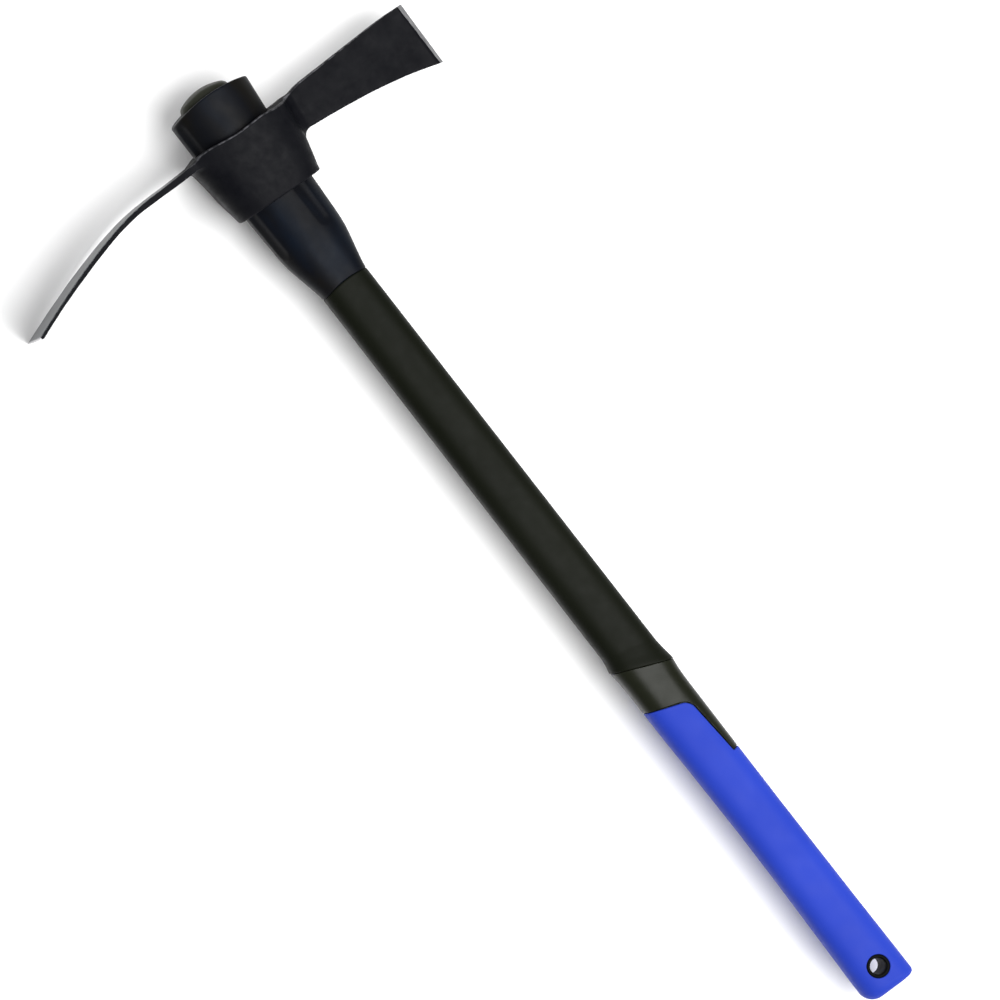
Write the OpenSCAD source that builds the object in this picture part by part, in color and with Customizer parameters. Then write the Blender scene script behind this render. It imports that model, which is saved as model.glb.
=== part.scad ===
// Cutter mattock: a forged axe and adze head, driven down over the flared eye sleeve of a long handle.
// +X runs up the handle to the head, +Y out to the adze and +Z out of the plane of the axe blade.
// The origin is the centre of the hang hole. Pieces that are bonded have a thin glue line between them.

/* [Shaft] */
// Width of the shaft above the grip, in the plane of the axe blade
shaft_w = 43.6; // [42.8:0.2:44.4]
// Depth of the shaft, across that plane
shaft_d = 34; // [33:0.5:35]
// Hang hole to the seam between the shaft and the eye sleeve
seam_x = 697.5; // [620:0.5:760]
// Hang hole to the crest of the oblique ridge above the grip
ridge_x = 306.5; // [300:0.5:330]
// How much narrower the shaft is at the seam
shaft_taper = 1; // [0:0.1:1.4]
// Rise of the ridge above the shaft
ridge_h = 2.2; // [1.6:0.1:2.6]
// Radius of the glass-fibre core rod
core_r = 9.5; // [8:0.25:10]

/* [Eye sleeve] */
// Width of the sleeve at its rim
rim_w = 73.6; // [72.6:0.2:75.4]
// Depth of the sleeve at its rim
rim_d = 55; // [54:0.5:57]
// Seam to the middle of the rim
rim_rise = 183.9; // [181:0.5:188]
// Seam to the top of the domed cap
cap_rise = 191.3; // [190.3:0.2:194]
// Lean of the sleeve towards the axe, as a slope against the shaft
sleeve_lean = 0.009; // [0:0.001:0.014]
// Depth of the lengthwise flutes
flute_depth = 1.2; // [0.6:0.1:1.6]

/* [Head] */
// Seam to the bottom of the eye, on the handle's axis
eye_rise = 83.9; // [82:0.1:88]
// Height of the eye along the handle
eye_h = 63.1; // [60:0.5:66]
// Gap between the eye and the sleeve
eye_gap = 0.35; // [0.3:0.05:0.5]
// Axis to the cutting edge of the axe
axe_reach = 174.2; // [150:0.5:190]
// Length of the cutting edge of the axe
axe_edge = 58.3; // [52:0.5:64]
// Height of the axe blade at its neck
axe_neck = 33.7; // [31:0.2:36]
// Axis to the edge of the adze, along Y
adze_reach = 225.2; // [200:1:255]
// Width of the adze at its edge
adze_edge = 88; // [76:1:100]
// Distance that the adze curls down to its edge
adze_curl = 33.5; // [20:0.5:42]

/* [Grip] */
// Hang hole to the butt
butt_rise = 22.4; // [20:0.2:26]
// Thickness of the soft cover
cover_t = 2.5; // [2.2:0.1:2.8]
// Hang hole to the cover's top edge, on the handle's axis
cover_top = 266.6; // [262:0.2:270]
// Hang hole to the end of the bare tongue at the cover's axe side
tongue_end = 208.9; // [190:0.5:225]
// Radius of the hang hole
hang_r = 6.75; // [6:0.25:7]

/* [Hidden] */
ring_n = 40;            // points round each oval section
glue = 0.05;            // glue line between bonded pieces
far = 60;               // beyond any section of the handle
tilt = 0.44;            // slope of the ridge against the shaft
cover_slope = 0.376;    // slope of the cover's top edge
groove = 0.8;           // open groove between the cover and its base
ridge_gap = 0.3;        // and between the base and the shaft's ridge
seam_crown = 0.0065;    // curve of the seam, as 1 / (2 x radius)
rim_crown = 0.0042;     // curve of the rim, as 1 / (2 x radius)
rim_tilt = 0.042;       // slope of the rim and the cap, up towards the adze
flat_power = 2.9;       // squareness of the shaft and the grip
oval_power = 2.3;       // squareness of the eye sleeve
eye_power = 3;          // squareness of the head round its eye

eye_bottom = seam_x + eye_rise;
eye_top = eye_bottom + eye_h;
rim_x = seam_x + rim_rise;
cap_top = seam_x + cap_rise;

// Width and depth of the shaft at the seam and at the ridge
seam_size = [shaft_w - shaft_taper, shaft_d];
ridge_size = [shaft_w + 2 * ridge_h, shaft_d + 2 * ridge_h];

// Tenons of the shaft inside the sleeve and inside the grip
top_tenon = [36, 27.5];
low_tenon = [30, 25];
top_tenon_x = seam_x + 178.6;
low_tenon_x = 30;
core_top = seam_x + 165;
cap_size = [45, 34.6];

// ---- Oval lofts along X ----

function signed_pow(v, e) = (v < 0 ? -1 : 1) * pow(abs(v), e);

// A section of a loft: its place, size, squareness, offset along Y, slope along Y and crown
function section(x, size, power = flat_power, mid = 0, slope = 0, crown = 0) =
    [x, size[0], size[1], power, mid, slope, crown];

function grown(size, by) = [size[0] + by, size[1] + by];

function ring(s) = [
    for (i = [0 : ring_n - 1])
        let (angle = 360 * i / ring_n,
             y = s[1] / 2 * signed_pow(cos(angle), 2 / s[3]),
             z = s[2] / 2 * signed_pow(sin(angle), 2 / s[3]))
        [s[0] + s[5] * y - s[6] * y * y, y + s[4], z]
];

function rings(sections) = [for (s = sections) each ring(s)];

// The two triangles between points i and i + 1 of rings a and b
function wall(a, b, i) =
    let (j = (i + 1) % ring_n, p = a * ring_n, q = b * ring_n)
    [[p + i, q + i, q + j], [p + i, q + j, p + j]];

// A solid through the sections, closed at both ends
module loft(sections) {
    count = len(sections);
    first = sections[0];
    last = sections[count - 1];
    low_tip = count * ring_n;
    top_ring = (count - 1) * ring_n;
    polyhedron(
        points = concat(rings(sections), [[first[0], first[4], 0], [last[0], last[4], 0]]),
        faces = concat(
            [for (k = [0 : count - 2], i = [0 : ring_n - 1]) each wall(k, k + 1, i)],
            [for (i = [0 : ring_n - 1]) [low_tip, i, (i + 1) % ring_n]],
            [for (i = [0 : ring_n - 1]) [low_tip + 1, top_ring + (i + 1) % ring_n, top_ring + i]]));
}

// A tube: up through the outer sections and back down through the inner ones
module tube_loft(outer, inner) {
    sections = concat(outer, inner);
    count = len(sections);
    polyhedron(
        points = rings(sections),
        faces = [for (k = [0 : count - 1], i = [0 : ring_n - 1]) each wall(k, (k + 1) % count, i)]);
}

module rod(x, length, r) translate([x, 0, 0]) rotate([0, 90, 0]) cylinder(h = length, r = r, $fn = 96);

// An outline drawn in Y and Z, pushed along X
module push_x(x, length) translate([x, 0, 0]) rotate([90, 0, 90]) linear_extrude(height = length) children();

// An outline drawn in X and Y, pushed both ways along Z
module push_z(length) linear_extrude(height = length, center = true) children();

// ---- Handle ----

// The ridge's face towards the grip is steep, and the other one runs out along the shaft
ridge_face = 3;         // length of the ridge's crest
ridge_fade = 19;        // ridge to where the shaft is plain again
ridge_end = 40;         // ridge to where the sections are square to the shaft

module shaft_jacket() color([0.16, 0.17, 0.15]) difference() {
    loft([
        section(low_tenon_x, low_tenon),
        section(ridge_x, low_tenon, slope = tilt),
        section(ridge_x, ridge_size, slope = tilt),
        section(ridge_x + ridge_face, grown(ridge_size, -0.4), slope = tilt),
        section(ridge_x + ridge_fade / 2, grown(ridge_size, -ridge_h), slope = tilt),
        section(ridge_x + ridge_fade, [shaft_w, shaft_d], slope = tilt / 2),
        section(ridge_x + ridge_end, [shaft_w, shaft_d]),
        section(seam_x, seam_size, crown = seam_crown),
        section(seam_x, top_tenon, crown = seam_crown),
        section(top_tenon_x, top_tenon)]);
    rod(low_tenon_x - 1, top_tenon_x - low_tenon_x + 2, core_r + glue);
}

module core_rod() color([0.85, 0.8, 0.55]) rod(low_tenon_x, core_top - low_tenon_x, core_r);

// ---- Eye sleeve ----

// The sleeve leans away from the shaft's axis as it rises, and its collar above the eye leans more
collar_shift = 2;
function lean_y(x) = -sleeve_lean * (x - seam_x);
function collar_y(x) = lean_y(eye_top) - collar_shift * (x - eye_top) / (rim_x - eye_top);

// The boot that swells from the shaft to the eye: rise above the seam, width, depth, squareness
boot = [
    [8, 46.4, 36, 2.7], [16, 50, 38, 2.5], [24, 53.8, 40, 2.4], [32, 57.4, 42, 2.3],
    [40, 59.5, 43.3, 2.3], [49, 60.6, 44, 2.3]];

// The sleeve's taper inside the eye, carried on in a straight line past both ends
eye_low_size = [63.4, 46];
eye_high_size = [rim_w - 3.4, rim_d - 3];
function eye_size(x) = eye_low_size + (x - eye_bottom) / eye_h * (eye_high_size - eye_low_size);
function eye_section(x, gap = 0) = section(x, grown(eye_size(x), 2 * gap), oval_power, lean_y(x));

rim_r = 1.5;            // rounding of the rim's outer edge
rim_y = collar_y(rim_x);
cap_y = rim_y + 1.4;

function sleeve_outside() = concat(
    [section(seam_x + glue, grown(seam_size, 0.3), crown = seam_crown)],
    [for (b = boot) section(seam_x + b[0], [b[1], b[2]], b[3], lean_y(seam_x + b[0]),
                            crown = seam_crown * max(0, 1 - b[0] / 32))],
    [eye_section(eye_bottom), eye_section(eye_top)],
    [section(rim_x - 10, [rim_w - 0.6, rim_d - 0.5], oval_power, collar_y(rim_x - 10), rim_tilt / 2,
             rim_crown / 2),
     section(rim_x - rim_r, [rim_w, rim_d], oval_power, rim_y, rim_tilt, rim_crown),
     section(rim_x, grown([rim_w, rim_d], -1.6 * rim_r), oval_power, rim_y, rim_tilt, rim_crown)]);

function sleeve_inside() = [
    section(rim_x, grown(cap_size, 2 * glue), flat_power, cap_y, rim_tilt, rim_crown),
    section(top_tenon_x, grown(cap_size, 2 * glue), mid = cap_y),
    section(top_tenon_x, grown(top_tenon, 2 * glue)),
    section(seam_x + glue, grown(top_tenon, 2 * glue), crown = seam_crown)];

// A shallow lengthwise flute between two points of the sleeve's face, cut by a bar that lies
// outside the face in the given direction
module flute(start, end, outward) {
    bar_r = 8;
    lift = (bar_r - flute_depth) * outward;
    hull() for (p = [start, end]) translate(p + lift) sphere(r = bar_r, $fn = 20);
}

module eye_sleeve() color([0.13, 0.15, 0.19]) difference() {
    tube_loft(sleeve_outside(), sleeve_inside());
    for (side = [0, 1]) mirror([0, 0, side]) {
        flute([seam_x + 172, 30, 14], [seam_x + 47, 26.5, 11.7], [0, 0.83, 0.56]);
        flute([eye_bottom + 10, -17, 20.6], [seam_x + 50, -17.2, 19.4], [0, -0.34, 0.94]);
    }
}

// Domed cap, pressed into the sleeve over the end of the core.
// The dome's steps are a share of its height and how much smaller it is there.
dome_steps = [[0, 0], [0.45, 0], [0.72, 2.2], [0.88, 7], [0.96, 14], [1, 23]];

module top_cap() color([0.2, 0.21, 0.18]) {
    base_x = top_tenon_x + glue;
    dome = cap_top - base_x;
    loft([for (d = dome_steps)
        section(base_x + dome * d[0], grown(cap_size, -d[1]), mid = cap_y, slope = rim_tilt * d[0])]);
    rod(core_top + glue, top_tenon_x - core_top, core_r);
}

// ---- Head ----

// Adze: straight out of the eye, then curling down to its edge
adze_top = eye_top + 0.9;
adze_bend = 98;         // where the curl starts
adze_curve = 1.4;       // power of the curl
adze_root = 30;
adze_bevel = 3.4;       // length of the ground bevel at the adze's edge
adze_tip = 1;           // thickness of the edge itself
adze_root_half = 26;    // half width of the adze where it leaves the eye
adze_sides = concat([for (y = [adze_root : 8 : adze_reach - adze_bevel - 4]) y], [adze_reach - adze_bevel]);
adze_thickness = [[70, 5.6], [120, 4.1], [160, 4.1], [200, 3.3]];

function adze_x(y) =
    adze_top - adze_curl * pow(max(0, y - adze_bend) / (adze_reach - adze_bend), adze_curve);
function adze_t(y) = lookup(y, adze_thickness);

module adze() intersection() {
    push_z(adze_edge + 2) polygon(concat(
        [for (y = adze_sides) [adze_x(y), y]],
        [[adze_x(adze_reach), adze_reach], [adze_x(adze_reach) - adze_tip, adze_reach]],
        [for (k = [len(adze_sides) - 1 : -1 : 0]) let (y = adze_sides[k]) [adze_x(y) - adze_t(y), y]]));
    push_x(eye_bottom - far, 2 * far + eye_h) polygon([
        [adze_root, -adze_root_half], [50, -adze_root_half], [adze_reach, -adze_edge / 2],
        [adze_reach, adze_edge / 2], [50, adze_root_half], [adze_root, adze_root_half]]);
}

// Axe: its top edge rises a little out of the eye, and its lower edge flares away from it
axe_top = eye_top;
axe_root = 30;
neck_y = 52;
neck_slope = 0.13;
axe_run = axe_reach - neck_y;
tip_drop = 1.5;         // the blade's top edge drops by this much at the cutting edge
flare = (axe_edge + tip_drop - axe_neck - neck_slope * axe_run) / pow(axe_run, 3);
function axe_low(u) = axe_top - axe_neck - neck_slope * u - flare * pow(u, 3);

// Half the thickness of the axe blade, at its root, its neck, its ground bevel and its edge
axe_half = [9, 7.5, 2.8, 0.6];
axe_bevel = 5;

module axe_blade() {
    root_dip = 3.4;
    heel_back = 1.3;             // the cutting edge is this much shorter at its lower end
    steps = 10;
    bevel_y = axe_reach - axe_bevel;
    intersection() {
        push_z(40) polygon(concat(
            [[axe_top - root_dip, -axe_root], [axe_top - root_dip, 4 - neck_y], [axe_top, -neck_y - 18],
             [axe_top, 25 - axe_reach], [axe_top - tip_drop, -axe_reach]],
            [for (k = [steps : -1 : 0]) let (u = axe_run * k / steps, out = u - heel_back * k / steps)
                [axe_low(u), -neck_y - out]],
            [[axe_low(0), -axe_root]]));
        push_x(eye_bottom - far, 2 * far + eye_h) polygon([
            [-axe_root, -axe_half[0]], [-neck_y, -axe_half[1]], [-bevel_y, -axe_half[2]],
            [-axe_reach - 1, -axe_half[3]], [-axe_reach - 1, axe_half[3]],
            [-bevel_y, axe_half[2]], [-neck_y, axe_half[1]], [-axe_root, axe_half[0]]]);
    }
}

// The head round its eye: share of the height, width, depth, offset along Y and slope of the section
cheek = [
    [0, 76.3, 58, -2.2, 0.06], [0.19, 81.3, 60.5, -3, 0.03], [0.4, 86.8, 63.5, -3.8, 0],
    [0.62, 89.8, 66.5, -4.2, 0.02], [0.84, 93.3, 69, -4.3, 0.05], [1, 94.8, 70, -4.1, 0.068]];

module mattock_head() color([0.13, 0.14, 0.16]) difference() {
    union() {
        loft([for (c = cheek) section(eye_bottom + eye_h * c[0], [c[1], c[2]], eye_power, c[3], c[4])]);
        axe_blade();
        adze();
    }
    loft([eye_section(eye_bottom - 8, eye_gap), eye_section(eye_top + 8, eye_gap)]);
}

// ---- Grip ----

// The grip's outer form: distance above the butt, width, depth, squareness, offset, slope
butt_form = [
    [0, 30, 20, 2.4, 0.1, 0.02], [1.4, 37, 28, 2.5, 0.1, 0.02], [4.2, 42, 33, 2.6, 0.1, 0.02],
    [9, 45, 36, 2.7, 0.1, 0]];
// and further up: distance above the hang hole, width, depth, offset
grip_form = [
    [0, 45.4, 37, 0.1], [55, 43.8, 36.5, -0.2], [100, 42.8, 36, -0.5], [151, 42.2, 35.6, -0.6],
    [209, 43, 35.6, -0.3], [250, 44, 35.9, 0]];
// and up to the ridge: distance below the ridge, width, depth, slope
ridge_form = [
    [26, 44.2, 36, tilt / 2], [13, 44.9, 36.3, tilt], [4, ridge_size[0] - 1.8, ridge_size[1] - 1.8, tilt],
    [ridge_gap, ridge_size[0] - 0.8, ridge_size[1] - 0.8, tilt]];

module grip_outside() loft(concat(
    [for (b = butt_form) section(b[0] - butt_rise, [b[1], b[2]], b[3], b[4], b[5])],
    [for (g = grip_form) section(g[0], [g[1], g[2]], mid = g[3])],
    [for (r = ridge_form) section(ridge_x - r[0], [r[1], r[2]], slope = r[3])]));

// What lies under the cover, with a plain end wall at the butt. gap makes it larger all round.
module grip_under(gap = 0) {
    size_off = 2 * (gap - cover_t);
    loft(concat(
        [section(cover_t - gap - butt_rise, grown([37, 28], size_off), 2.5, 0.1),
         section(cover_t - gap - butt_rise + 3.5, grown([43, 34], size_off), 2.6, 0.1),
         section(11 - butt_rise, grown([45, 36.4], size_off), 2.7, 0.1)],
        [for (g = grip_form) section(g[0], grown([g[1], g[2]], size_off), mid = g[3])],
        [section(ridge_x - 20, grown([44.2, 35.9], size_off))]));
}

// The part of the handle's outline that the cover hides. grow widens it by the open groove.
module cover_zone(grow = 0) {
    corner_r = 6 + grow;
    tongue_y = -15.3 - grow;     // the cover's edge beside the tongue, at the tongue's end
    tongue_lean = 0.078;         // and how fast that edge nears the axis further up
    top = cover_top + grow;
    end = tongue_end + grow;
    // the corner where the top edge meets the edge beside the tongue, rounded off
    corner_x = (top + cover_slope * (tongue_y - tongue_lean * end)) / (1 - cover_slope * tongue_lean);
    corner = [corner_x, tongue_y + tongue_lean * (corner_x - end)];
    top_inward = [-1, cover_slope] / norm([1, cover_slope]);
    side_inward = [-tongue_lean, 1] / norm([1, tongue_lean]);
    centre = corner + corner_r * (top_inward + side_inward) / (1 + top_inward * side_inward);
    first = atan(tongue_lean) - 90;
    last = -atan(cover_slope);
    steps = 6;
    turn = [for (k = [0 : steps]) let (a = first + (last - first) * k / steps)
        centre + corner_r * [cos(a), sin(a)]];
    polygon(concat(
        [[-far, -far], [end, -far], [end, tongue_y]],
        turn,
        [[top + far * cover_slope, far], [-far, far]]));
}

module hang_hole(r) translate([0, 0, -far]) cylinder(h = 2 * far, r = r, $fn = 64);

module grip_base() color([0.2, 0.21, 0.18]) difference() {
    socket = grown(low_tenon, 2 * glue);
    grip_outside();
    difference() {
        push_z(2 * far) cover_zone(groove);
        grip_under();
    }
    loft([section(low_tenon_x - glue, socket), section(ridge_x + ridge_end, socket)]);
    hang_hole(bush_r + glue);
}

module grip_cover() color([0.24, 0.33, 0.82]) difference() {
    intersection() {
        grip_outside();
        push_z(2 * far) cover_zone();
    }
    grip_under(glue);
    hang_hole(flange_r + glue);
}

// ---- Bush of the hang hole ----

bush_r = 8.2;
bush_top = 18.2;
flange_r = 9.65;
flange_t = 2.2;
neck_r = bush_r - 0.8;  // the bush's far end, which the ring grips
neck_h = 4.2;
lip_r = 0.9;            // rounding of the lips

// A bush in two halves: a flanged tube from the front, and a ring pressed on its far end
module hang_bush() color([0.06, 0.06, 0.07]) rotate_extrude($fn = 96) polygon([
    [hang_r, -bush_top], [neck_r, -bush_top], [neck_r, neck_h - bush_top],
    [bush_r, neck_h - bush_top], [bush_r, bush_top - flange_t], [flange_r, bush_top - flange_t],
    [flange_r, bush_top - lip_r], [flange_r - lip_r, bush_top], [hang_r + 0.6, bush_top],
    [hang_r, bush_top - 0.6]]);

module bush_ring() color([0.06, 0.06, 0.07]) rotate_extrude($fn = 96) polygon([
    [neck_r + glue, flange_t - bush_top], [flange_r, flange_t - bush_top],
    [flange_r, lip_r - bush_top], [flange_r - lip_r, -bush_top], [neck_r + glue, -bush_top]]);

mattock_head();
eye_sleeve();
top_cap();
shaft_jacket();
core_rod();
grip_base();
grip_cover();
hang_bush();
bush_ring();
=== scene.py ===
import math

import bpy
import numpy as np
from mathutils import Matrix, Vector


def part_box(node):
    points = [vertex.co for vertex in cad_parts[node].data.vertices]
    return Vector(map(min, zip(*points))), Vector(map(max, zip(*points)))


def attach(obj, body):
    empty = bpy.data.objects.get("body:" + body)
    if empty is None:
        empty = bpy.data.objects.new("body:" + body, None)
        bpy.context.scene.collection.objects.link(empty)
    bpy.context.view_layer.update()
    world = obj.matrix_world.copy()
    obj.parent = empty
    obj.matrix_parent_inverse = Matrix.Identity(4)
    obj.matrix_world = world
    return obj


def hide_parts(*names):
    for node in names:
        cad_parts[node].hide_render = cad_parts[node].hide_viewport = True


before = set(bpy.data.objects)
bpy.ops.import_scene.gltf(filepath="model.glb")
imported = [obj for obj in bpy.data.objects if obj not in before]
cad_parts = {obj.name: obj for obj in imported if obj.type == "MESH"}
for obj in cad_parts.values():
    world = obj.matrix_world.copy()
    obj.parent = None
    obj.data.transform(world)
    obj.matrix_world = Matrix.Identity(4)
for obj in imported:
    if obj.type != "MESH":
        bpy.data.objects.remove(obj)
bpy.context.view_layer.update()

MM = 0.001  # Blender works in metres; every shape below is written in millimetres


def node_box(node):
    """A CAD node's lowest and highest corners, in millimetres."""
    low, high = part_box(node)
    return np.array(low) / MM, np.array(high) / MM


# ---------------------------------------------------------------- sizes, from the frame

HEAD_LOW, HEAD_HIGH = node_box("mattock_head")
SLEEVE_LOW, SLEEVE_HIGH = node_box("eye_sleeve")
CAP_LOW, CAP_HIGH = node_box("top_cap")
JACKET_LOW, JACKET_HIGH = node_box("shaft_jacket")
BASE_LOW, BASE_HIGH = node_box("grip_base")
COVER_LOW = node_box("grip_cover")[0]
BUSH_LOW, BUSH_HIGH = node_box("hang_bush")

GLUE = 0.05  # glue line between bonded pieces

TILT = 0.44  # slope of the oblique ridge against the shaft
SHAFT_D, SHAFT_POWER, SHAFT_TAPER = 34.0, 2.9, 1.0
RIDGE_H = (JACKET_HIGH[2] - JACKET_LOW[2] - SHAFT_D) / 2
SHAFT_W = JACKET_HIGH[1] - JACKET_LOW[1] - 2 * RIDGE_H
RIDGE_CHAMFER = 0.48  # how far the base's highest corner stops short of the sharp one, along X
RIDGE_X = BASE_HIGH[0] - TILT * (SHAFT_W / 2 + RIDGE_H) + RIDGE_CHAMFER
TOP_TENON, LOW_TENON = (36.0, 27.5), (30.0, 25.0)
CORE_R = (node_box("core_rod")[1][1] - node_box("core_rod")[0][1]) / 2

# the seam and the rim are arcs when seen from the front
SEAM_CROWN, RIM_CROWN, RIM_TILT = 0.0065, 0.0042, 0.042
SLEEVE_LEAN, COLLAR_SHIFT, SLEEVE_POWER = 0.009, 2.0, 2.3
SEAM_X = SLEEVE_LOW[0] + SEAM_CROWN * (SHAFT_W / 2) ** 2
RIM_X = SLEEVE_HIGH[0] - RIM_TILT ** 2 / (4 * RIM_CROWN)
RIM_W, RIM_D = 73.6, SLEEVE_HIGH[2] - SLEEVE_LOW[2]
EYE_LOW_W, EYE_HIGH_W = 63.4, RIM_W - 3.4
EYE_LOW_D, EYE_HIGH_D = 46.0, RIM_D - 3.0
CAP_Y = (CAP_LOW[1] + CAP_HIGH[1]) / 2
CAP_W, CAP_D = CAP_HIGH[1] - CAP_LOW[1], CAP_HIGH[2] - CAP_LOW[2]

# the eye's lower face rises towards the adze, and crosses EYE_BOTTOM at FOOT_Y
FOOT_TILT, FOOT_Y = 0.06, -2.2
EYE_BOTTOM, EYE_H = HEAD_LOW[0] + FOOT_TILT * 38, 63.1
EYE_TOP = EYE_BOTTOM + EYE_H
RIM_Y = -SLEEVE_LEAN * (EYE_TOP - SEAM_X) - COLLAR_SHIFT
EYE_GAP = 0.35
AXE_REACH, AXE_TOP = -HEAD_LOW[1], EYE_TOP
AXE_NECK, AXE_EDGE, NECK_Y, TIP_DROP = 33.7, 58.3, 52.0, 1.5
ADZE_REACH, ADZE_HALF, ADZE_TOP = HEAD_HIGH[1], HEAD_HIGH[2], EYE_TOP + 0.9
ADZE_BEND, ADZE_CURL, ADZE_CURVE, BEND_SOFTNESS = 98.0, 33.5, 1.4, 14.0

BUTT = 22.34
COVER_T = 2.5
COVER_TOP, COVER_SLOPE = 266.6, 0.376
TONGUE_END, TONGUE_Y, TONGUE_LEAN = 208.9, -15.3, 0.078
GROOVE, RIDGE_GAP = 0.8, 0.3
HANG_R, BUSH_R, FLANGE_R, BUSH_TOP = 6.75, 8.2, BUSH_HIGH[0], BUSH_HIGH[2]


# ---------------------------------------------------------------- distance fields

def meet(a, b, r):
    """Where both solids are, with the edge between them rounded to radius r."""
    return np.minimum(np.maximum(a, b), -r) + np.hypot(np.maximum(a + r, 0), np.maximum(b + r, 0))


def join(a, b, r):
    """Both solids together, with a fillet of radius r between them."""
    return -meet(-a, -b, r)


def oval(y, z, w, d, power):
    """Distance to a squared oval w wide and d deep."""
    u, v = np.abs(y) * 2 / w + 1e-6, np.abs(z) * 2 / d + 1e-6
    q = (u ** power + v ** power) ** (1 / power)
    slope = np.hypot(u ** (power - 1) * 2 / w, v ** (power - 1) * 2 / d) * q ** (1 - power)
    return (q - 1) / slope


def capsule(x, y, z, start, end, r):
    """Distance to a round-ended bar."""
    start, run = np.array(start), np.array(end) - np.array(start)
    px, py, pz = x - start[0], y - start[1], z - start[2]
    t = np.clip((px * run[0] + py * run[1] + pz * run[2]) / (run @ run), 0, 1)
    return np.sqrt((px - t * run[0]) ** 2 + (py - t * run[1]) ** 2 + (pz - t * run[2]) ** 2) - r


def profile(places, values, soften=4.0):
    """A smooth function through (place, value) pairs, rounded over about soften millimetres."""
    fine = np.arange(min(places) - 40, max(places) + 40, 0.25)
    table = np.interp(fine, places, values)
    width = max(int(soften / 0.25) | 1, 1)
    window = np.hanning(width + 2)[1:-1]
    padded = np.pad(table, width, mode="edge")
    table = np.convolve(padded, window / window.sum(), mode="same")[width:-width]
    return lambda x: np.interp(x, fine, table)


def ripple(x, y, z, wavelength, seed):
    """Gentle irregular waves between about -1 and 1, the same on every run."""
    rng = np.random.default_rng(seed)
    total = 0
    for _ in range(7):
        direction = rng.normal(size=3)
        direction *= 2 * math.pi / wavelength * rng.uniform(0.6, 1.5) / np.linalg.norm(direction)
        start = rng.uniform(0, 6.28)
        total = total + np.sin(direction[0] * x + direction[1] * y + direction[2] * z + start)
    return total / 4


def steps(*stretches):
    """Grid lines through stretches of (start, end, spacing), each starting where the last ended."""
    lines = [np.array([stretches[0][0]])]
    for start, end, spacing in stretches:
        count = max(1, round((end - start) / spacing))
        lines.append(np.linspace(start, end, count + 1)[1:])
    return np.concatenate(lines)


# ---------------------------------------------------------------- from field to mesh

MARGIN = 1.5  # how far a grid reaches past its solid
FINE = 0.6  # grid spacing along X where an edge or a rim crosses

CORNERS = [(i, j, k) for i in (0, 1) for j in (0, 1) for k in (0, 1)]
EDGES = [(a, b) for a in CORNERS for b in CORNERS
         if sum(b) == sum(a) + 1 and all(q >= p for p, q in zip(a, b))]


def gradient(field, p, reach=0.02):
    parts = []
    for axis in range(3):
        step = np.zeros(3)
        step[axis] = reach
        ahead, behind = p + step, p - step
        parts.append((field(*ahead.T) - field(*behind.T)) / (2 * reach))
    return np.stack(parts, 1)


def net(field, xs, ys, zs):
    """The surface where the field is zero, as points and quads: one point in each cell it crosses."""
    v = field(xs[:, None, None], ys[None, :, None], zs[None, None, :])
    inside = v < 0
    block = [inside[i:i + len(xs) - 1, j:j + len(ys) - 1, k:k + len(zs) - 1] for i, j, k in CORNERS]
    crossed = np.logical_or.reduce(block) & ~np.logical_and.reduce(block)
    cell = np.argwhere(crossed)
    number = np.full(crossed.shape, -1)
    number[tuple(cell.T)] = np.arange(len(cell))

    def corner(offset):
        i, j, k = (cell + offset).T
        return v[i, j, k], np.stack([xs[i], ys[j], zs[k]], 1)

    total, count = np.zeros((len(cell), 3)), np.zeros(len(cell))
    for a, b in EDGES:
        (va, pa), (vb, pb) = corner(a), corner(b)
        cut = (va < 0) != (vb < 0)
        t = np.where(cut, va / np.where(cut, va - vb, 1), 0)[:, None]
        total += np.where(cut[:, None], pa + t * (pb - pa), 0)
        count += cut
    points = total / count[:, None]

    cell_size = np.stack([np.diff(xs)[cell[:, 0]], np.diff(ys)[cell[:, 1]], np.diff(zs)[cell[:, 2]]], 1)
    for _ in range(4):  # onto the surface, moving no further than half a cell
        g = gradient(field, points)
        move = -field(*points.T)[:, None] * g / np.maximum((g ** 2).sum(1), 1e-9)[:, None]
        points += np.clip(move, -cell_size / 2, cell_size / 2)

    quads = []
    for axis in range(3):
        b, c = (axis + 1) % 3, (axis + 2) % 3
        low = [slice(None)] * 3
        high = [slice(None)] * 3
        low[axis], high[axis] = slice(0, -1), slice(1, None)
        change = inside[tuple(low)] != inside[tuple(high)]
        at = np.argwhere(change)
        at = at[(at[:, b] > 0) & (at[:, c] > 0)]
        at = at[(at[:, b] < inside.shape[b] - 1) & (at[:, c] < inside.shape[c] - 1)]
        around = []
        for db, dc in ((1, 1), (0, 1), (0, 0), (1, 0)):
            beside = at.copy()
            beside[:, b] -= db
            beside[:, c] -= dc
            around.append(number[tuple(beside.T)])
        quad = np.stack(around, 1)
        leaving = inside[tuple(at.T)]
        quad[~leaving] = quad[~leaving][:, ::-1]
        quads.append(quad)
    return points, np.concatenate(quads)


def mesh_object(name, points, faces, normals=None):
    """A smooth object from points in millimetres."""
    me = bpy.data.meshes.new(name)
    me.from_pydata((points * MM).tolist(), [], faces.tolist())
    me.polygons.foreach_set("use_smooth", np.ones(len(me.polygons), bool))
    if normals is not None:
        me.normals_split_custom_set_from_vertices(normals.tolist())
    me.update()
    obj = bpy.data.objects.new(name, me)
    bpy.context.scene.collection.objects.link(obj)
    return obj


def carve(name, field, xs, ys, zs):
    points, faces = net(field, xs, ys, zs)
    g = gradient(field, points, 0.06)
    return mesh_object(name, points, faces, g / np.maximum(np.linalg.norm(g, axis=1), 1e-9)[:, None])


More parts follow.
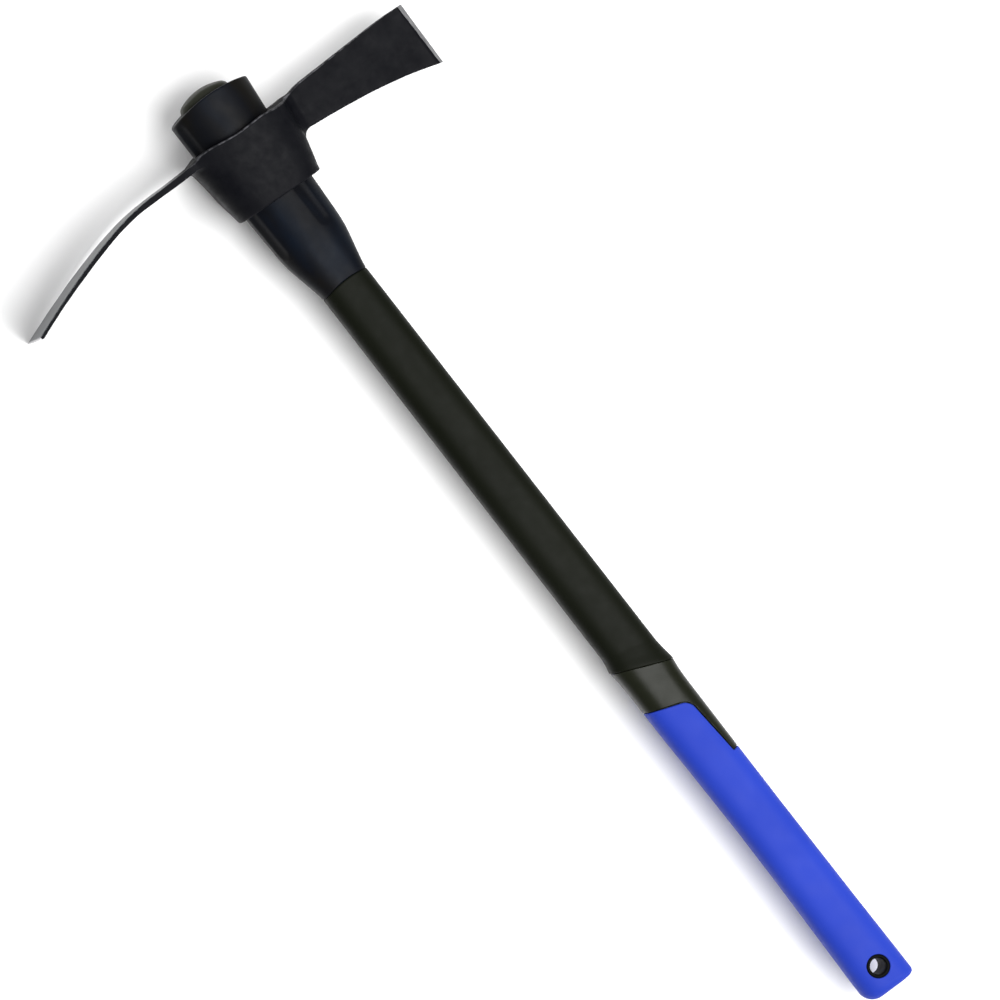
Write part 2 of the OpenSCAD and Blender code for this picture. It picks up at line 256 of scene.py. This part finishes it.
def lathe(name, outline, count=96):
    """A solid turned round Z from a closed outline of (radius, height)."""
    rings = len(outline)
    angle = np.arange(count) * 2 * math.pi / count
    r, h = np.array(outline).T
    points = np.stack([np.outer(np.cos(angle), r), np.outer(np.sin(angle), r), np.tile(h, (count, 1))], 2)
    faces = []
    for k in range(count):
        for i in range(rings):
            j, n = (i + 1) % rings, (k + 1) % count
            this, following = k * rings, n * rings
            faces.append([this + i, following + i, following + j, this + j])
    return mesh_object(name, points.reshape(-1, 3), np.array(faces))


# ---------------------------------------------------------------- the head

def lean_y(x):
    """The sleeve's middle, which leans towards the axe as it rises, and more so above the eye."""
    above = np.maximum(x - EYE_TOP, 0) / (RIM_X - EYE_TOP)
    return -SLEEVE_LEAN * (np.minimum(x, EYE_TOP) - SEAM_X) - COLLAR_SHIFT * above


def sleeve_w(x):
    return EYE_LOW_W + (x - EYE_BOTTOM) / EYE_H * (EYE_HIGH_W - EYE_LOW_W)


def sleeve_d(x):
    return EYE_LOW_D + (x - EYE_BOTTOM) / EYE_H * (EYE_HIGH_D - EYE_LOW_D)


def ramp(x, low, high):
    """From 0 below low to 1 above high, smoothly."""
    t = np.clip((x - low) / (high - low), 0, 1)
    return t * t * (3 - 2 * t)


cheek_places = [EYE_BOTTOM + EYE_H * share for share in (0, 0.19, 0.4, 0.62, 0.84, 1)]
cheek_w = profile(cheek_places, (76.3, 81.3, 86.8, 89.8, 93.3, 94.8), 10)
cheek_d = profile(cheek_places, (58, 60.5, 63.5, 66.5, 69, 70), 10)
cheek_mid = profile(cheek_places, (-2.2, -3, -3.8, -4.2, -4.3, -4.1), 10)


def eye_block(x, y, z):
    block = oval(y - cheek_mid(x), z, cheek_w(x), cheek_d(x), 3)
    top = EYE_TOP - 1.3 + 4.3 * ramp(y, -6, 30) - 2.6 * ramp(y, 31, 42) - 2.6 * ramp(-y, 22, 42)
    block = meet(block, x - top, 2.2)
    return meet(block, EYE_BOTTOM + FOOT_TILT * (y - FOOT_Y) - x, 1.6)


def axe_blade(x, y, z):
    out = -y
    u = out - NECK_Y
    run = AXE_REACH - NECK_Y
    neck_slope, heel_back, bevel = 0.13, 1.3, 5.0
    flare = (AXE_EDGE + TIP_DROP - AXE_NECK - neck_slope * run) / run ** 3
    low = AXE_TOP - AXE_NECK - neck_slope * u - flare * np.maximum(u, 0) ** 3
    high = AXE_TOP - 3.4 * (1 - ramp(out, 44, 72)) - TIP_DROP * ramp(out, AXE_REACH - 30, AXE_REACH + 4)
    reach = AXE_REACH - heel_back * np.clip((AXE_TOP - x) / AXE_EDGE, 0, 1)
    half = np.interp(out - reach, (NECK_Y - 22 - AXE_REACH, NECK_Y - AXE_REACH, -bevel, 0),
                     (9, 7.5, 2.8, 0.35))
    edge_r = np.interp(u, (0, run), (2.4, 0.5))
    sides = np.maximum(x - high, (low - x) / math.hypot(1, 0.2))
    return np.maximum(meet(np.abs(z) - half, sides, edge_r), np.maximum(out - reach, 20 - out))


def adze_blade(x, y, z):
    past_bend = (y - ADZE_BEND + np.hypot(y - ADZE_BEND, BEND_SOFTNESS)) / 2
    curl = past_bend / (ADZE_REACH - ADZE_BEND)
    outer = ADZE_TOP - 0.7 * (1 - ramp(y, 50, 92)) - ADZE_CURL * curl ** ADZE_CURVE
    slope = ADZE_CURVE * ADZE_CURL / (ADZE_REACH - ADZE_BEND) * curl ** (ADZE_CURVE - 1)
    thick = 5.6 - 1.5 * ramp(y, 62, 128) - 0.8 * ramp(y, 150, 205)
    thick = np.minimum(thick, 1.0 + (ADZE_REACH - y) * 0.7)
    half = 26 + (ADZE_HALF - 26) * np.maximum(y - 50, 0) / (ADZE_REACH - 50)
    sheet = np.maximum(x - outer, outer - thick - x) / np.hypot(1, slope)
    blade = meet(sheet, np.abs(z) - half, 0.5)
    return np.maximum(blade, np.maximum(y - ADZE_REACH, 20 - y))


def head_field(x, y, z):
    body = join(eye_block(x, y, z), axe_blade(x, y, z), 8)
    body = join(body, adze_blade(x, y, z), 3.5)
    body = body + 0.10 * ripple(x, y, z, 24, 3)
    hole = oval(y - lean_y(x), z, sleeve_w(x) + 2 * EYE_GAP, sleeve_d(x) + 2 * EYE_GAP, SLEEVE_POWER)
    body = meet(body, -hole, 1.3)
    body = np.maximum(body, np.abs(z) - ADZE_HALF)
    return np.maximum(body, np.maximum(y - ADZE_REACH, -y - AXE_REACH))


def build_head():
    return carve(
        "forged_head", head_field,
        steps((EYE_BOTTOM - 5, EYE_TOP + 5, 0.8)),
        steps((-AXE_REACH - MARGIN, -AXE_REACH + 9, FINE), (-AXE_REACH + 9, -70, 1.6), (-70, 62, 0.8),
              (62, ADZE_REACH - 14, 1.6), (ADZE_REACH - 14, ADZE_REACH + MARGIN, FINE)),
        steps((-ADZE_HALF - MARGIN, ADZE_HALF + MARGIN, 0.8)))


# ---------------------------------------------------------------- the eye sleeve and its cap

SEAM_W = SHAFT_W - SHAFT_TAPER
sleeve_places = [SEAM_X + h for h in (0, 8, 16, 24, 32, 40, 49)]
sleeve_places += [EYE_BOTTOM, EYE_TOP, RIM_X - 10, RIM_X]
sleeve_profile_w = profile(
    sleeve_places,
    (SEAM_W + 0.3, 46.4, 50, 53.8, 57.4, 59.5, 60.6,
     sleeve_w(EYE_BOTTOM), sleeve_w(EYE_TOP), RIM_W - 0.6, RIM_W), 9)
sleeve_profile_d = profile(
    sleeve_places,
    (SHAFT_D + 0.3, 36, 38, 40, 42, 43.3, 44,
     sleeve_d(EYE_BOTTOM), sleeve_d(EYE_TOP), RIM_D - 0.5, RIM_D), 9)
sleeve_power = profile([SEAM_X, SEAM_X + 30], (2.9, SLEEVE_POWER))
FLUTE_R, FLUTE_DEPTH, FLUTE_LIP = 8.0, 1.2, 2.0
# each flute: its two ends on the sleeve's face, and the direction out of the face there
FLUTES = (((SEAM_X + 172, 30, 14), (SEAM_X + 47, 26.5, 11.7), (0, 0.83, 0.56)),
          ((EYE_BOTTOM + 10, -17, 20.6), (SEAM_X + 50, -17.2, 19.4), (0, -0.34, 0.94)))


def sleeve_field(x, y, z):
    mid = lean_y(x)
    body = oval(y - mid, z, sleeve_profile_w(x), sleeve_profile_d(x), sleeve_power(x))
    across = y - RIM_Y
    body = meet(body, x - RIM_TILT * across + RIM_CROWN * across ** 2 - RIM_X, 1.6)
    body = meet(body, SEAM_X + GLUE - SEAM_CROWN * y * y - x, 1.2)
    for start, end, outward in FLUTES:
        lift = (FLUTE_R - FLUTE_DEPTH) * np.array(outward)
        bar = capsule(x, y, np.abs(z), start + lift, end + lift, FLUTE_R)
        body = meet(body, -bar, FLUTE_LIP)
    body = np.maximum(body, -oval(y, z, TOP_TENON[0] + 2 * GLUE, TOP_TENON[1] + 2 * GLUE, SHAFT_POWER))
    recess = oval(y - CAP_Y, z, CAP_W + 2 * GLUE, CAP_D + 2 * GLUE, SHAFT_POWER)
    recess = np.maximum(recess, JACKET_HIGH[0] - x)
    return meet(body, -recess, 0.8)


def build_sleeve():
    return carve(
        "sleeve", sleeve_field,
        steps((SEAM_X - 6, SEAM_X + 4, FINE), (SEAM_X + 4, SEAM_X + 56, 1.2),
              (SEAM_X + 56, SEAM_X + 148, 2.0), (SEAM_X + 148, RIM_X - 11, 1.2),
              (RIM_X - 11, RIM_X + MARGIN, FINE)),
        steps((SLEEVE_LOW[1] - MARGIN, SLEEVE_HIGH[1] + MARGIN, 0.8)),
        steps((-RIM_D / 2 - MARGIN, RIM_D / 2 + MARGIN, 0.8)))


DOME_CROWN, DOME_INSET = 0.0120, 0.4  # the tilt lifts one side of the dome above its middle


def cap_field(x, y, z):
    across = y - CAP_Y
    dome = oval(across, z, CAP_W, CAP_D, SHAFT_POWER)
    crown = DOME_CROWN * (across ** 2 + z * z)
    dome = meet(dome, x - RIM_TILT * across + crown - CAP_HIGH[0] + DOME_INSET, 4)
    dome = np.maximum(dome, JACKET_HIGH[0] + GLUE - x)
    spigot = np.maximum(np.hypot(y, z) - CORE_R, CAP_LOW[0] - x)
    spigot = np.maximum(spigot, x - JACKET_HIGH[0] - 2)
    return np.minimum(dome, spigot)


def build_cap():
    return carve(
        "domed_cap", cap_field,
        steps((CAP_LOW[0] - 2, CAP_HIGH[0] + MARGIN, FINE)),
        steps((CAP_LOW[1] - MARGIN, CAP_HIGH[1] + MARGIN, 0.7)),
        steps((CAP_LOW[2] - MARGIN, CAP_HIGH[2] + MARGIN, 0.7)))


# ---------------------------------------------------------------- the shaft

ridge_places = [RIDGE_X - 60, RIDGE_X, RIDGE_X + 3, RIDGE_X + 9, RIDGE_X + 19, RIDGE_X + 40]
ridge_rise = profile(ridge_places, (2 * RIDGE_H, 2 * RIDGE_H, 2 * RIDGE_H - 0.4, RIDGE_H, 0, 0), 3)
ridge_slope = profile(
    [RIDGE_X - 60, RIDGE_X - 26, RIDGE_X - 13, RIDGE_X + 9, RIDGE_X + 19, RIDGE_X + 40],
    (0, TILT / 2, TILT, TILT, TILT / 2, 0), 4)
shaft_w = profile([RIDGE_X + 40, SEAM_X], (SHAFT_W, SEAM_W))


def jacket_field(x, y, z):
    along = x - ridge_slope(x) * y
    rise = ridge_rise(along)
    shaft = oval(y, z, shaft_w(x) + rise, SHAFT_D + rise, SHAFT_POWER)
    shaft = meet(shaft, RIDGE_X + TILT * y - x, 0.9)
    shaft = meet(shaft, x + SEAM_CROWN * y * y - SEAM_X, 1.1)
    top = np.maximum(oval(y, z, *TOP_TENON, SHAFT_POWER), SEAM_X - 12 - x)
    low = np.maximum(oval(y, z, *LOW_TENON, SHAFT_POWER), x - RIDGE_X - 30)
    body = np.minimum(shaft, np.minimum(top, low))
    body = np.maximum(body, np.maximum(JACKET_LOW[0] - x, x - JACKET_HIGH[0]))
    return np.maximum(body, CORE_R + GLUE - np.hypot(y, z))


def build_jacket():
    return carve(
        "shaft", jacket_field,
        steps((JACKET_LOW[0] - 2, JACKET_LOW[0] + 2, 1), (JACKET_LOW[0] + 2, RIDGE_X - 14, 9),
              (RIDGE_X - 14, RIDGE_X + 16, FINE), (RIDGE_X + 16, RIDGE_X + 50, 1.5),
              (RIDGE_X + 50, SEAM_X - 7, 8), (SEAM_X - 7, SEAM_X + 2, FINE),
              (SEAM_X + 2, JACKET_HIGH[0] - 2, 9), (JACKET_HIGH[0] - 2, JACKET_HIGH[0] + 2, 1)),
        steps((JACKET_LOW[1] - MARGIN, JACKET_HIGH[1] + MARGIN, 0.7)),
        steps((JACKET_LOW[2] - MARGIN, JACKET_HIGH[2] + MARGIN, 0.7)))


# ---------------------------------------------------------------- the grip

grip_places = [-30, 0, 55, 100, 151, 209, 250, RIDGE_X - 26, RIDGE_X - 13, RIDGE_X - 4, RIDGE_X]
ridge_w, ridge_d = SHAFT_W + 2 * RIDGE_H, SHAFT_D + 2 * RIDGE_H
grip_w = profile(
    grip_places, (45.6, 45.4, 43.8, 42.8, 42.2, 43, 44, 44.2, 44.9, ridge_w - 1.8, ridge_w - 0.8), 12)
grip_d = profile(
    grip_places, (37, 37, 36.5, 36, 35.6, 35.6, 35.9, 36, 36.3, ridge_d - 1.8, ridge_d - 0.8), 12)
grip_mid = profile([-30, 0, 55, 100, 151, 209, 250], (0.1, 0.1, -0.2, -0.5, -0.6, -0.3, 0), 20)


def grip_form(x, y, z):
    """The grip's outer form, which the base and the cover share."""
    along = x - ridge_slope(x) * y
    form = oval(y - grip_mid(x), z, grip_w(along), grip_d(along), SHAFT_POWER)
    butt_r = np.clip(7.5 + 0.15 * y, 4, 11)
    return meet(form, 0.02 * y - BUTT - x, butt_r)


def cover_zone(x, y):
    """Below zero where the blue cover is, in the plane of the handle; the tongue is left out of it."""
    top = (x - COVER_TOP - COVER_SLOPE * y) / math.hypot(1, COVER_SLOPE)
    beside_tongue = (TONGUE_Y + TONGUE_LEAN * (x - TONGUE_END) - y) / math.hypot(1, TONGUE_LEAN)
    return meet(top, np.minimum(beside_tongue, x - TONGUE_END), 6)


def cover_field(x, y, z):
    form = grip_form(x, y, z)
    cover = meet(form, cover_zone(x, y), 1.0)
    cover = np.maximum(cover, GLUE - (form + COVER_T))
    return meet(cover, FLANGE_R + GLUE - np.hypot(x, y), 0.5)


def base_field(x, y, z):
    form = grip_form(x, y, z)
    bare = meet(form, GROOVE - cover_zone(x, y), 0.5)
    bare = meet(bare, x - RIDGE_X - TILT * y + RIDGE_GAP, 0.2)
    under = np.maximum(form + COVER_T, x - COVER_TOP - 12)
    base = np.minimum(bare, under)
    tenon = oval(y, z, LOW_TENON[0] + 2 * GLUE, LOW_TENON[1] + 2 * GLUE, SHAFT_POWER)
    base = np.maximum(base, -np.maximum(tenon, JACKET_LOW[0] - GLUE - x))
    return np.maximum(base, BUSH_R + GLUE - np.hypot(x, y))


def grip_grid():
    return (
        steps((COVER_LOW[0] - MARGIN, 13, 0.7), (13, TONGUE_END - 6, 3),
              (TONGUE_END - 6, COVER_TOP + 14, 0.7), (COVER_TOP + 14, RIDGE_X - 14, 1.2),
              (RIDGE_X - 14, BASE_HIGH[0] + MARGIN, FINE)),
        steps((BASE_LOW[1] - MARGIN, BASE_HIGH[1] + MARGIN, 0.7)),
        steps((BASE_LOW[2] - MARGIN, BASE_HIGH[2] + MARGIN, 0.7)))


def build_base():
    return carve("grip_moulding", base_field, *grip_grid())


def build_cover():
    return carve("soft_grip", cover_field, *grip_grid())


def build_bush():
    """The bush's flanged tube: its front lip is a rounded bead."""
    lip = (FLANGE_R - HANG_R) / 2
    bead = [(HANG_R + lip + lip * math.cos(a), BUSH_TOP - 0.9 + 0.9 * math.sin(a))
            for a in np.linspace(0, math.pi, 13)]
    return lathe("hang_hole_bush", [
        (HANG_R, BUSH_LOW[2]), (BUSH_R - 0.8, BUSH_LOW[2]), (BUSH_R - 0.8, BUSH_LOW[2] + 4.2),
        (BUSH_R, BUSH_LOW[2] + 4.2), (BUSH_R, BUSH_TOP - 2.2), (FLANGE_R, BUSH_TOP - 2.2), *bead])


def build_bush_ring():
    inner = BUSH_R - 0.8 + GLUE
    lip = (FLANGE_R - inner) / 2
    bead = [(inner + lip - lip * math.cos(a), BUSH_LOW[2] + 0.9 - 0.9 * math.sin(a))
            for a in np.linspace(0, math.pi, 13)]
    return lathe("hang_hole_ring", [*bead, (FLANGE_R, BUSH_LOW[2] + 2.2), (inner, BUSH_LOW[2] + 2.2)])


# ---------------------------------------------------------------- materials

class Paint:
    """A small helper for writing a material's nodes from left to right."""

    def __init__(self, name, roughness=0.5, specular=0.5):
        self.material = bpy.data.materials.new(name)
        self.material.use_nodes = True
        self.tree = self.material.node_tree
        self.shader = self.tree.nodes["Principled BSDF"]
        self.shader.inputs["Roughness"].default_value = roughness
        self.shader.inputs["Specular IOR Level"].default_value = specular
        self.place = self.node("ShaderNodeTexCoord").outputs["Object"]

    def node(self, kind, **settings):
        made = self.tree.nodes.new(kind)
        for key, value in settings.items():
            setattr(made, key, value)
        return made

    def link(self, source, target):
        self.tree.links.new(source, target)

    def stretch(self, scale):
        mapping = self.node("ShaderNodeMapping")
        mapping.inputs["Scale"].default_value = scale
        self.link(self.place, mapping.inputs["Vector"])
        return mapping.outputs["Vector"]

    def noise(self, size, detail=3.0, roughness=0.5, along=(1, 1, 1)):
        """Noise whose features are about size millimetres across."""
        made = self.node("ShaderNodeTexNoise")
        made.inputs["Scale"].default_value = 1 / (size * MM)
        made.inputs["Detail"].default_value = detail
        made.inputs["Roughness"].default_value = roughness
        self.link(self.stretch(along), made.inputs["Vector"])
        return made.outputs["Fac"]

    def ramp(self, source, *stops):
        """Each stop is (place, value), where a value is a number or a colour."""
        made = self.node("ShaderNodeValToRGB")
        points = made.color_ramp.elements
        while len(points) < len(stops):
            points.new(0.5)
        for point, (at, value) in zip(points, stops):
            point.position = at
            point.color = (*value, 1) if isinstance(value, tuple) else (value, value, value, 1)
        self.link(source, made.inputs["Fac"])
        return made.outputs["Color"]

    def mix(self, factor, a, b):
        made = self.node("ShaderNodeMix", data_type="RGBA")
        self.link(factor, made.inputs[0])
        for socket, value in ((made.inputs[6], a), (made.inputs[7], b)):
            if isinstance(value, tuple):
                socket.default_value = (*value, 1)
            else:
                self.link(value, socket)
        return made.outputs[2]

    def maths(self, operation, a, b):
        made = self.node("ShaderNodeMath", operation=operation)
        for socket, value in zip(made.inputs, (a, b)):
            if isinstance(value, (int, float)):
                socket.default_value = value
            else:
                self.link(value, socket)
        return made.outputs[0]

    def axis(self, name):
        """A point's place along one axis, in metres."""
        made = self.node("ShaderNodeSeparateXYZ")
        self.link(self.place, made.inputs[0])
        return made.outputs[name]

    def smooth(self, source, low, high):
        """From 0 below low to 1 above high, smoothly."""
        made = self.node("ShaderNodeMapRange", interpolation_type="SMOOTHSTEP")
        made.inputs["From Min"].default_value = low
        made.inputs["From Max"].default_value = high
        self.link(source, made.inputs["Value"])
        return made.outputs["Result"]

    def facing(self, name):
        """How much the surface faces along an axis of the piece."""
        made = self.node("ShaderNodeSeparateXYZ")
        self.link(self.node("ShaderNodeTexCoord").outputs["Normal"], made.inputs[0])
        return made.outputs[name]

    def bump(self, height, distance, strength=1.0, under=None):
        made = self.node("ShaderNodeBump")
        made.inputs["Strength"].default_value = strength
        made.inputs["Distance"].default_value = distance * MM
        self.link(height, made.inputs["Height"])
        if under is not None:
            self.link(under, made.inputs["Normal"])
        return made.outputs["Normal"]

    def done(self, colour=None, roughness=None, normal=None, metallic=None):
        for socket, source in (("Base Color", colour), ("Roughness", roughness), ("Normal", normal),
                               ("Metallic", metallic)):
            if isinstance(source, tuple):
                self.shader.inputs[socket].default_value = (*source, 1)
            elif source is not None:
                self.link(source, self.shader.inputs[socket])
        return self.material


def dress(obj, material):
    obj.data.materials.clear()
    obj.data.materials.append(material)


AXE_GROUND, ADZE_GROUND = 3.8, 1.4  # how wide the ground strips along the cutting edges are


def forged_paint():
    """Blue-black paint over forged steel, bare on the ground edges; the adze's outer face is smoothed by
    use and carries a painted sheen, and the top edge of the eye a patchy band of wear and painted
    highlight.
    """
    p = Paint("forged_steel", specular=0.048)
    cloud = p.noise(20, 5, 0.62)
    colour = p.ramp(cloud, (0.3, (0.0020, 0.0022, 0.0036)), (0.7, (0.0058, 0.0060, 0.0075)))
    roughness = p.ramp(p.noise(9, 5, 0.6), (0.3, 0.36), (0.7, 0.58))
    # the adze's outer face, from just beyond its root: smoothed by use, so its roughness is lower, and
    # given a pale colour there that is a painted reflection of the bright floor
    rubbed_and_sheen = p.maths("MULTIPLY", p.smooth(p.axis("Y"), 44 * MM, 72 * MM),
                     p.smooth(p.facing("X"), 0.25, 0.45))
    sheen_streaks = p.noise(2.0, 4, 0.7, along=(0.2, 0.2, 1))
    pale = p.ramp(sheen_streaks, (0.3, (0.085, 0.088, 0.095)), (0.7, (0.140, 0.144, 0.152)))
    colour = p.mix(rubbed_and_sheen, colour, pale)
    roughness = p.mix(rubbed_and_sheen, roughness, (0.30, 0.30, 0.30))
    # a patchy paler band on the rounded edge along the top of the eye: partly paint lost to wear, partly
    # a painted highlight where the edge turns towards the light
    turning = p.maths("MULTIPLY", p.smooth(p.facing("X"), 0.15, 0.45),
                      p.smooth(p.facing("X"), 0.92, 0.70))
    high = p.maths("MULTIPLY", p.smooth(p.axis("X"), (EYE_TOP - 7) * MM, (EYE_TOP - 3) * MM),
                   p.smooth(p.axis("Y"), 47 * MM, 43 * MM))
    patchy = p.ramp(p.noise(5, 4, 0.6), (0.40, 0.15), (0.60, 0.9))
    wear_and_highlight = p.maths("MULTIPLY", p.maths("MULTIPLY", turning, high), patchy)
    colour = p.mix(wear_and_highlight, colour, (0.11, 0.11, 0.12))
    # the ground edges: position along Y tells how near a cutting edge a point is
    wobble = p.maths("MULTIPLY", p.maths("SUBTRACT", p.noise(7, 2), 0.5), 1.2 * MM)
    near = p.maths("ADD", p.axis("Y"), wobble)
    axe_ground = p.maths("LESS_THAN", near, -(AXE_REACH - AXE_GROUND) * MM)
    adze_ground = p.maths("GREATER_THAN", near, (ADZE_REACH - ADZE_GROUND) * MM)
    ground = p.maths("MAXIMUM", axe_ground, adze_ground)
    scratch = p.noise(0.9, 4, 0.7, along=(0.15, 1, 1))
    steel = p.ramp(scratch, (0.3, (0.30, 0.30, 0.31)), (0.7, (0.52, 0.52, 0.53)))
    colour = p.mix(ground, colour, steel)
    roughness = p.mix(ground, roughness, p.ramp(scratch, (0.3, 0.30), (0.7, 0.45)))
    scale = p.bump(p.noise(2.2, 5, 0.6), 0.12, 0.5)
    pits = p.bump(p.ramp(p.noise(6, 3, 0.5), (0.30, 0.0), (0.42, 1.0)), 0.10, 0.4, scale)
    return p.done(colour, roughness, pits, ground)


def sleeve_plastic():
    p = Paint("sleeve_plastic", specular=0.065)
    streak = p.noise(30, 3, 0.5, along=(0.35, 1, 1))
    colour = p.ramp(streak, (0.35, (0.0044, 0.0040, 0.0034)), (0.5, (0.0026, 0.0031, 0.0048)),
                    (0.7, (0.0020, 0.0044, 0.0095)))
    roughness = p.ramp(p.noise(12, 4, 0.55), (0.3, 0.36), (0.7, 0.48))
    grain = p.bump(p.noise(0.7, 3, 0.6), 0.03, 0.5)
    return p.done(colour, roughness, grain)


def moulded_plastic(name, dark, light, gloss, specular=0.06):
    """Satin moulded plastic with a fine grain; gloss is (lowest, highest) roughness."""
    p = Paint(name, specular=specular)
    colour = p.ramp(p.noise(40, 3, 0.5, along=(0.3, 1, 1)), (0.3, dark), (0.7, light))
    roughness = p.ramp(p.noise(10, 4, 0.55), (0.3, gloss[0]), (0.7, gloss[1]))
    return p.done(colour, roughness, p.bump(p.noise(0.6, 3, 0.6), 0.02, 0.5))


def soft_cover():
    """Blue elastomer: matte, with a very fine stipple."""
    p = Paint("grip_rubber", specular=0.12)
    colour = p.ramp(p.noise(60, 2, 0.5), (0.3, (0.0125, 0.034, 0.335)), (0.7, (0.0155, 0.040, 0.370)))
    roughness = p.ramp(p.noise(14, 3, 0.5), (0.3, 0.50), (0.7, 0.60))
    stipple = p.bump(p.noise(0.45, 2, 0.5), 0.03, 0.6)
    return p.done(colour, roughness, stipple)


def glass_fibre():
    p = Paint("glass_fibre")
    strand = p.noise(0.8, 3, 0.6, along=(0.03, 1, 1))
    colour = p.ramp(strand, (0.3, (0.52, 0.43, 0.20)), (0.7, (0.76, 0.68, 0.40)))
    return p.done(colour, p.ramp(strand, (0.3, 0.35), (0.7, 0.55)), p.bump(strand, 0.05, 0.6))


# ---------------------------------------------------------------- the scene

def build_pieces():
    satin_olive = moulded_plastic(
        "shaft_plastic", (0.0036, 0.0044, 0.0022), (0.0052, 0.0061, 0.0034), (0.42, 0.52))
    # painted light: the cap is the shaft's olive plastic, painted several times lighter for the light
    # that falls on its dome
    olive_cap_with_painted_light = moulded_plastic(
        "cap_plastic", (0.020, 0.0215, 0.0150), (0.027, 0.0285, 0.0205), (0.36, 0.46))
    gloss_olive = moulded_plastic(
        "base_plastic", (0.0056, 0.0066, 0.0028), (0.0080, 0.0092, 0.0046), (0.28, 0.37), 0.13)
    black = moulded_plastic(
        "bush_plastic", (0.0022, 0.0024, 0.0022), (0.0038, 0.0040, 0.0038), (0.45, 0.55), 0.03)
    pieces = [
        (build_head(), "mattock_head", "head", "forged_steel", forged_paint()),
        (build_sleeve(), "eye_sleeve", "handle", "sleeve_plastic", sleeve_plastic()),
        (build_cap(), "top_cap", "handle", "cap_plastic", olive_cap_with_painted_light),
        (build_jacket(), "shaft_jacket", "handle", "shaft_plastic", satin_olive),
        (build_base(), "grip_base", "handle", "base_plastic", gloss_olive),
        (build_cover(), "grip_cover", "handle", "grip_rubber", soft_cover()),
        (build_bush(), "hang_bush", "handle", "bush_plastic", black),
        (build_bush_ring(), "bush_ring", "handle", "bush_plastic", black),
    ]
    for piece, node, body, slot, material in pieces:
        dress(piece, material)
        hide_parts(node)
        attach(piece, body)
    dress(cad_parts["core_rod"], glass_fibre())


def plane(name, size, place):
    half = size / 2
    me = bpy.data.meshes.new(name)
    corners = [(-half, -half, 0), (half, -half, 0), (half, half, 0), (-half, half, 0)]
    me.from_pydata(corners, [], [(0, 1, 2, 3)])
    obj = bpy.data.objects.new(name, me)
    bpy.context.scene.collection.objects.link(obj)
    obj.location = place
    return obj


def build_floor():
    """A pale level floor just under the adze, the deepest part of the tool."""
    floor_gap = 0.3
    floor = plane("floor", 14, Vector((450, 0, -ADZE_HALF - floor_gap)) * MM)
    p = Paint("pale_floor", roughness=0.75, specular=0.2)
    dress(floor, p.done(p.ramp(p.noise(300, 2), (0.3, (0.92, 0.92, 0.92)), (0.7, (0.94, 0.94, 0.94)))))


def lamp(name, place, aim, size, power):
    data = bpy.data.lights.new(name, "AREA")
    data.shape = "RECTANGLE"
    data.size, data.size_y = size
    data.energy = power
    obj = bpy.data.objects.new(name, data)
    bpy.context.scene.collection.objects.link(obj)
    obj.location = place
    obj.rotation_euler = (Vector(aim) - Vector(place)).to_track_quat("-Z", "Y").to_euler()


def build_light():
    world = bpy.data.worlds.new("studio")
    world.use_nodes = True
    background = world.node_tree.nodes["Background"]
    background.inputs["Color"].default_value = (1, 1, 1, 1)
    background.inputs["Strength"].default_value = 0.42
    bpy.context.scene.world = world
    bpy.context.scene.view_settings.view_transform = "Standard"
    middle = (0.45, 0, 0)
    lamp("key", (-0.7, -0.8, 4.4), middle, (3.2, 2.8), 250)
    lamp("fill", (3.6, -0.6, 3.0), middle, (3.0, 3.0), 60)
    lamp("low", (-3.0, -1.3, 2.2), middle, (2.0, 2.0), 70)


# Where the camera stands: its lean away from straight above, towards the head and the adze,
# and the direction in which the handle runs across the picture
LEAN_X, LEAN_Y = 0.08, 0.14
HANDLE_ANGLE = math.radians(128.25)
AIM = Vector((481.9, 8.0, 0)) * MM
VIEW_DISTANCE = 7.0
VIEW_WIDTH = 0.800


def build_camera():
    data = bpy.data.cameras.new("camera")
    data.sensor_width = 36
    data.lens = data.sensor_width * VIEW_DISTANCE / VIEW_WIDTH
    data.clip_end = 50
    camera = bpy.data.objects.new("camera", data)
    bpy.context.scene.collection.objects.link(camera)
    back = Vector((LEAN_X, LEAN_Y, 1)).normalized()
    up = Vector((math.sin(HANDLE_ANGLE), math.cos(HANDLE_ANGLE), 0))
    up = (up - up.dot(back) * back).normalized()
    right = up.cross(back)
    turn = Matrix((right, up, back)).transposed().to_4x4()
    camera.matrix_world = Matrix.Translation(AIM + back * VIEW_DISTANCE) @ turn
    bpy.context.scene.camera = camera


build_camera()
build_light()
build_floor()
build_pieces()
